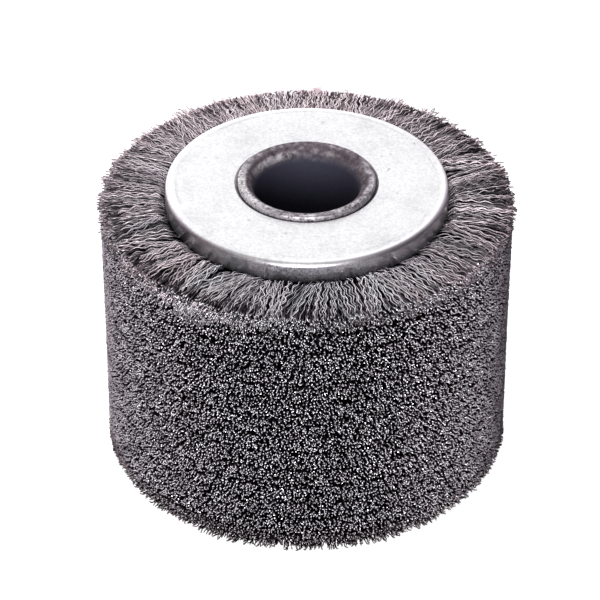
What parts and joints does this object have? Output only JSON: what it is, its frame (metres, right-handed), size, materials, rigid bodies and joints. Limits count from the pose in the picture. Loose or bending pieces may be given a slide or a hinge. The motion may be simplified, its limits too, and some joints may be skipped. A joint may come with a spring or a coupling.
{
  "type": "wire drum brush",
  "caption": "Wide cylindrical brush of crimped steel wire on a flared hub tube between two pressed end flanges, for turning on a spindle.",
  "frame": {"origin": "centre of the bore at the lowest plane of the brush, on the outer face of the lower hub lip", "axes": "+Z along the bore axis, from the lower flange to the upper flange; X and Y are any two directions across the bore"},
  "size_m": [0.1, 0.1, 0.0806],
  "materials": {
    "crimped_wire": "bright crimped steel wire, dull and dark between the wires",
    "galvanised_sheet": "pressed galvanised sheet, faintly scratched",
    "tube_steel": "worn tube steel, bright on the rolled lip and dark in the bore",
    "inner_steel": "plain mill steel"
  },
  "bodies": {
    "root": {"hub_tube": "tube_steel", "end_flange_top": "galvanised_sheet", "end_flange_bottom": "galvanised_sheet", "wire_section_01": "crimped_wire", "wire_section_02": "crimped_wire", "wire_section_03": "crimped_wire", "wire_section_04": "crimped_wire", "wire_section_05": "crimped_wire", "wire_section_06": "crimped_wire", "wire_section_07": "crimped_wire", "wire_section_08": "crimped_wire", "wire_section_09": "crimped_wire", "wire_section_10": "crimped_wire", "wire_section_11": "crimped_wire", "wire_section_12": "crimped_wire", "wire_section_13": "crimped_wire", "wire_section_14": "crimped_wire", "retaining_ring_01": "inner_steel", "retaining_ring_02": "inner_steel", "retaining_ring_03": "inner_steel", "retaining_ring_04": "inner_steel", "retaining_ring_05": "inner_steel", "retaining_ring_06": "inner_steel", "retaining_ring_07": "inner_steel", "retaining_ring_08": "inner_steel", "retaining_ring_09": "inner_steel", "retaining_ring_10": "inner_steel", "retaining_ring_11": "inner_steel", "retaining_ring_12": "inner_steel", "retaining_ring_13": "inner_steel", "retaining_ring_14": "inner_steel", "divider_plate_01": "inner_steel", "divider_plate_02": "inner_steel", "divider_plate_03": "inner_steel", "divider_plate_04": "inner_steel", "divider_plate_05": "inner_steel", "divider_plate_06": "inner_steel", "divider_plate_07": "inner_steel", "divider_plate_08": "inner_steel", "divider_plate_09": "inner_steel", "divider_plate_10": "inner_steel", "divider_plate_11": "inner_steel", "divider_plate_12": "inner_steel", "divider_plate_13": "inner_steel"}
  },
  "joints": []
}
